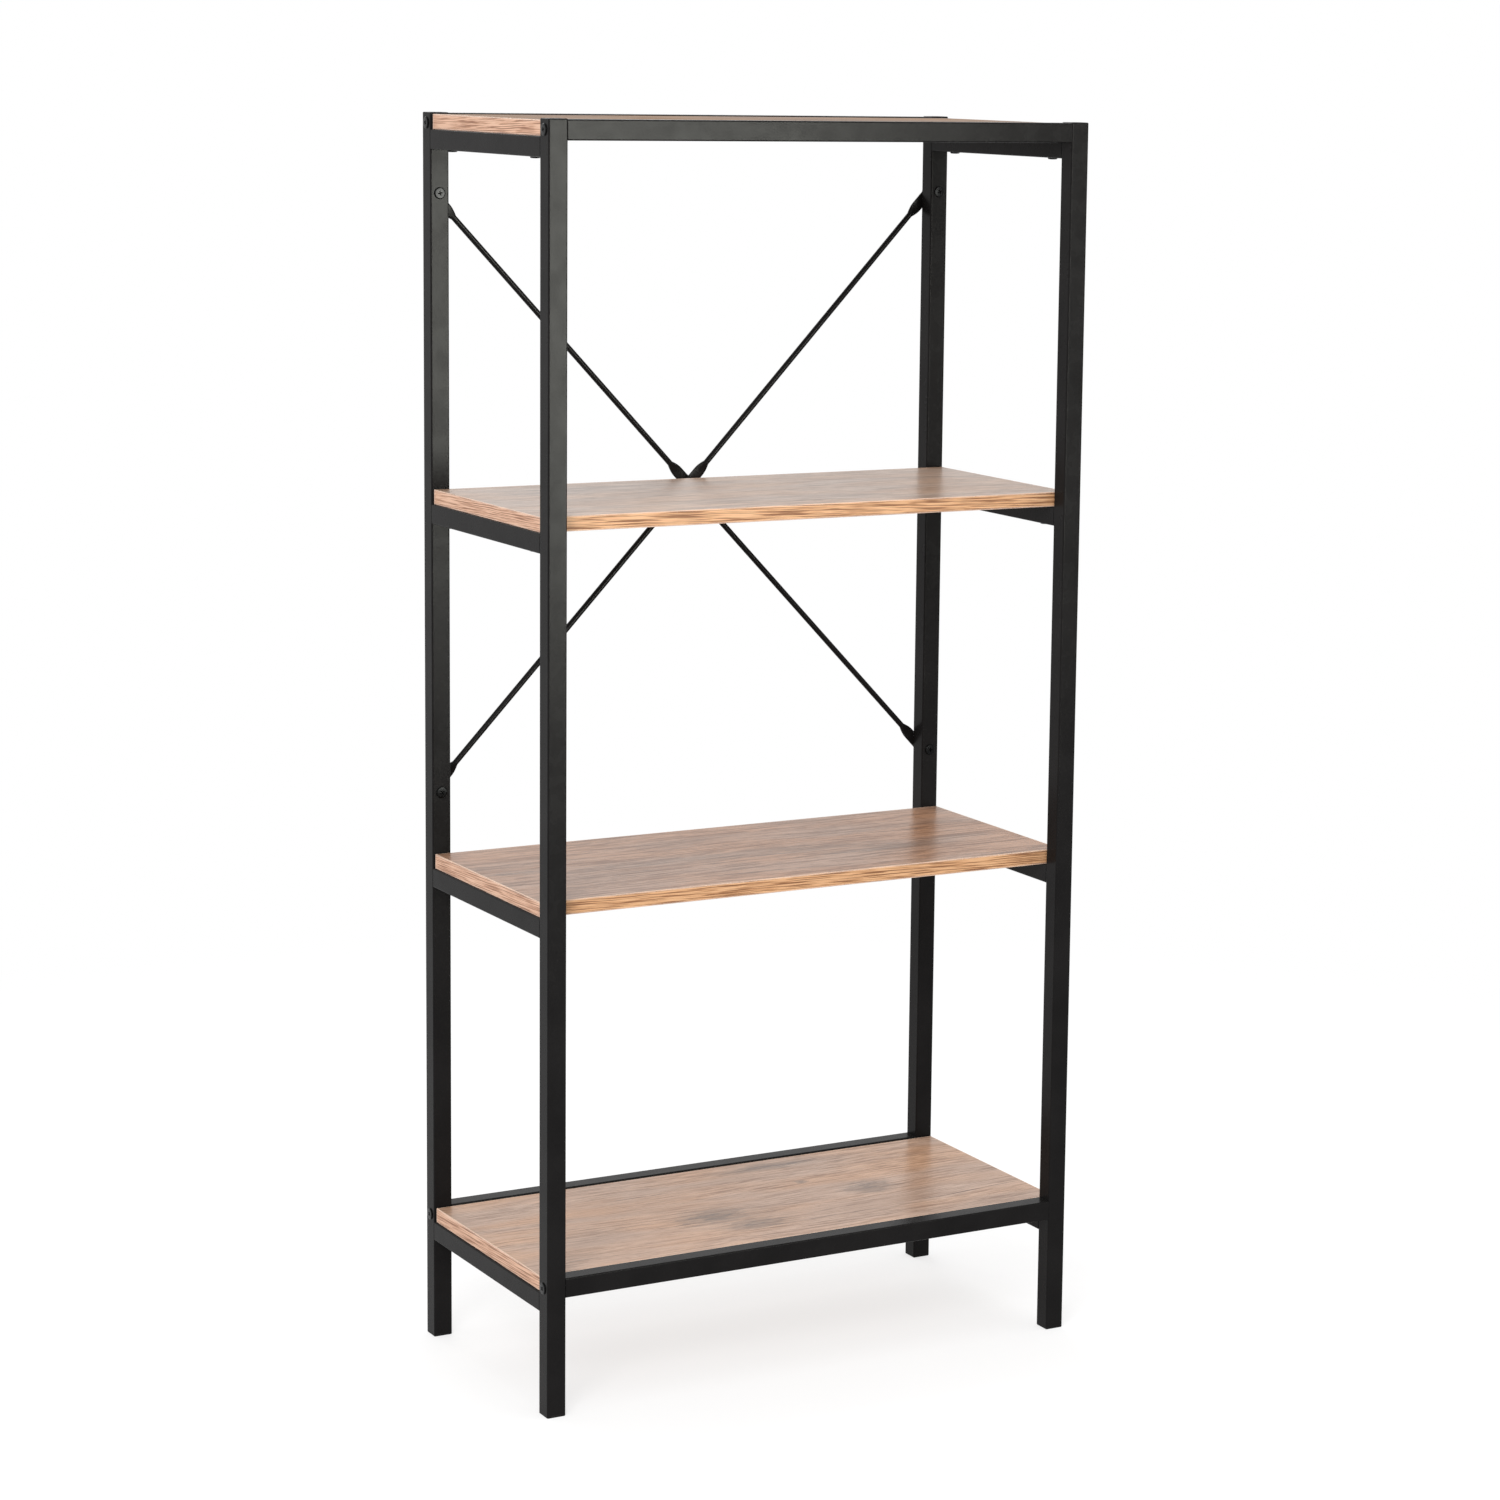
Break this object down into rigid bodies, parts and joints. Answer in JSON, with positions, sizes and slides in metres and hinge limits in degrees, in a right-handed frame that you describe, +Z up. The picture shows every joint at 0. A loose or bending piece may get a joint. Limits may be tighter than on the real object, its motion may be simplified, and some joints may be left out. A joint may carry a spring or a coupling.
{
  "type": "open shelving unit",
  "caption": "Tall open shelving unit: welded side frames of square steel tube, bolted long rails, wood-effect boards and a crossed rod brace at the back.",
  "frame": {"origin": "on the floor, under the middle of the whole box, brace hardware included", "axes": "+X to the right as seen from the front, +Y to the rear where the brace is, +Z up"},
  "size_m": [0.6028, 0.313, 1.27],
  "materials": {
    "frame_coat": "satin black powder coat",
    "frame_plastic": "satin black",
    "black_fastener": "satin black coating",
    "plain_steel": "plain steel",
    "board_face": "printed rustic oak, semi-gloss",
    "edge_band": "printed oak edge band, satin"
  },
  "bodies": {
    "root": {"front_left_leg": "frame_coat", "front_left_leg_cap": "frame_plastic", "front_left_foot": "frame_plastic", "front_right_leg": "frame_coat", "front_right_leg_cap": "frame_plastic", "front_right_foot": "frame_plastic", "rear_left_leg": "frame_coat", "rear_left_leg_cap": "frame_plastic", "rear_left_foot": "frame_plastic", "rear_right_leg": "frame_coat", "rear_right_leg_cap": "frame_plastic", "rear_right_foot": "frame_plastic", "left_bottom_side_rail": "frame_coat", "right_bottom_side_rail": "frame_coat", "left_lower_side_rail": "frame_coat", "right_lower_side_rail": "frame_coat", "left_upper_side_rail": "frame_coat", "right_upper_side_rail": "frame_coat", "left_top_side_rail": "frame_coat", "right_top_side_rail": "frame_coat", "top_front_rail": "frame_coat", "top_front_rail_nut_blocks": "plain_steel", "top_rear_rail": "frame_coat", "top_rear_rail_nut_blocks": "plain_steel", "left_top_rail_bolts": "black_fastener", "right_top_rail_bolts": "black_fastener", "bottom_front_rail": "frame_coat", "bottom_front_rail_nut_blocks": "plain_steel", "bottom_rear_rail": "frame_coat", "bottom_rear_rail_nut_blocks": "plain_steel", "left_bottom_rail_bolts": "black_fastener", "right_bottom_rail_bolts": "black_fastener", "bottom_board": "board_face", "bottom_board_edge_bands": "edge_band", "bottom_board_screws": "black_fastener", "lower_board": "board_face", "lower_board_edge_bands": "edge_band", "lower_board_screws": "black_fastener", "upper_board": "board_face", "upper_board_edge_bands": "edge_band", "upper_board_screws": "black_fastener", "top_board": "board_face", "top_board_edge_bands": "edge_band", "top_board_screws": "black_fastener", "upper_right_brace_rod": "frame_coat", "lower_left_brace_rod": "frame_coat", "upper_left_brace_rod": "frame_coat", "lower_right_brace_rod": "frame_coat", "brace_leg_bolts": "black_fastener", "brace_leg_nuts": "black_fastener", "brace_middle_bolt": "black_fastener", "brace_middle_nut": "black_fastener"}
  },
  "joints": []
}
